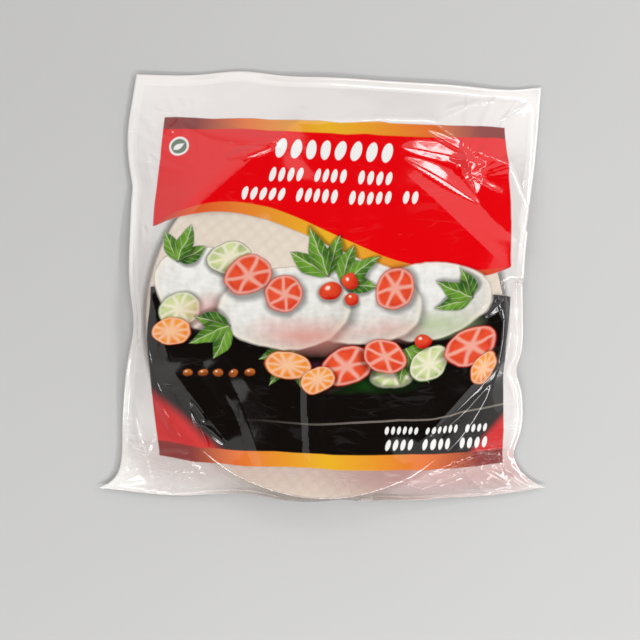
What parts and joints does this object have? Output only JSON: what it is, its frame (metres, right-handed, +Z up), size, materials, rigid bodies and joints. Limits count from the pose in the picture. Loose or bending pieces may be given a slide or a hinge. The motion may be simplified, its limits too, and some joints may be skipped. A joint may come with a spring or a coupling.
{
  "type": "rice paper wrapper pack",
  "caption": "Round stack of woven-pattern rice paper wrappers sealed in a flat clear pouch with a red, gold and black printed front, lying on its back.",
  "frame": {"origin": "on the table, under the middle of the pouch's box", "axes": "+Z up out of the printed front, +X across the pouch to the right of the print, +Y towards the empty far end"},
  "size_m": [0.2784, 0.266, 0.0236],
  "materials": {
    "film": "thin clear glossy plastic film, milky white where it lies over the white back film, crumpled, with red, gold and black print on its front",
    "rice_paper": "dry translucent off-white rice paper with a diagonal woven mat pattern pressed into it"
  },
  "bodies": {
    "root": {"sealed_pouch": "film"}
  },
  "joints": []
}
